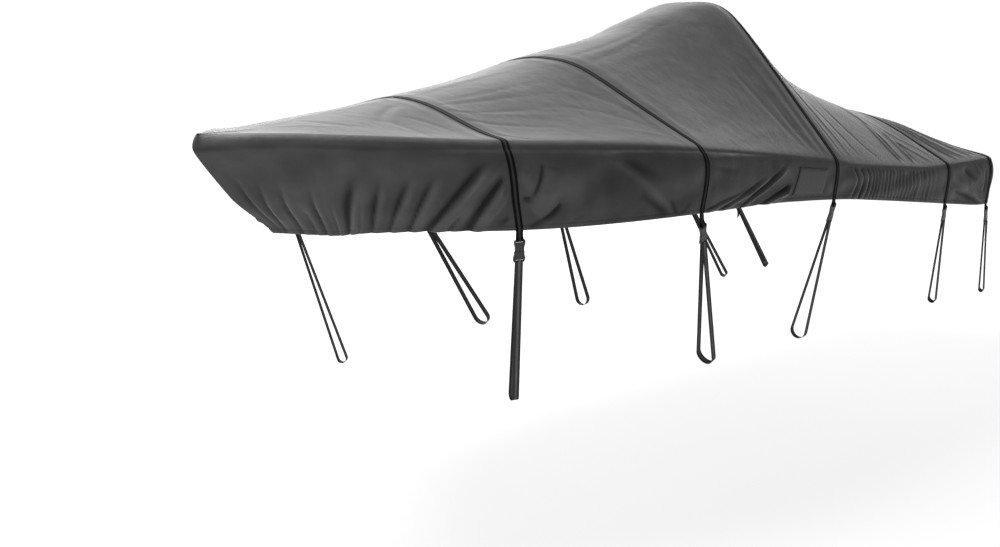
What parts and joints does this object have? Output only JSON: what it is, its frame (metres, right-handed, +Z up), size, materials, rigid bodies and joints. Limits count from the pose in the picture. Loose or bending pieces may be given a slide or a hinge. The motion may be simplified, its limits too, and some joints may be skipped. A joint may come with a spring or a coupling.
{
  "type": "boat cover",
  "caption": "Fitted cloth boat cover, draped over a raised middle, with over-straps, side-release buckles and tie-down loops.",
  "frame": {"origin": "against the inside of the cloth under its peak, in the middle of its breadth", "axes": "+X from bow to stern, +Y to starboard, +Z up"},
  "size_m": [7.0878, 2.487, 2.2626],
  "materials": {
    "cloth": "coated woven polyester, matt",
    "webbing": "woven webbing, satin",
    "buckle": "moulded, fine grain"
  },
  "bodies": {
    "root": {"cover": "cloth", "patch": "cloth", "strap_bow": "webbing", "strap_fore": "webbing", "strap_peak": "webbing", "strap_aft": "webbing", "strap_stern": "webbing", "buckle_upper_bow_port": "buckle", "buckle_lower_bow_port": "buckle", "loop_bow_port": "webbing", "buckle_upper_bow_starboard": "buckle", "buckle_lower_bow_starboard": "buckle", "loop_bow_starboard": "webbing", "buckle_upper_fore_port": "buckle", "buckle_lower_fore_port": "buckle", "loop_fore_port": "webbing", "buckle_upper_fore_starboard": "buckle", "buckle_lower_fore_starboard": "buckle", "loop_fore_starboard": "webbing", "buckle_upper_peak_port": "buckle", "buckle_lower_peak_port": "buckle", "loop_peak_port": "webbing", "buckle_upper_peak_starboard": "buckle", "buckle_lower_peak_starboard": "buckle", "loop_peak_starboard": "webbing", "buckle_upper_aft_port": "buckle", "buckle_lower_aft_port": "buckle", "loop_aft_port": "webbing", "buckle_upper_aft_starboard": "buckle", "buckle_lower_aft_starboard": "buckle", "loop_aft_starboard": "webbing", "buckle_upper_stern_port": "buckle", "buckle_lower_stern_port": "buckle", "loop_stern_port": "webbing", "buckle_upper_stern_starboard": "buckle", "buckle_lower_stern_starboard": "buckle", "loop_stern_starboard": "webbing", "tail_stern_port": "webbing", "tail_stern_starboard": "webbing"}
  },
  "joints": []
}
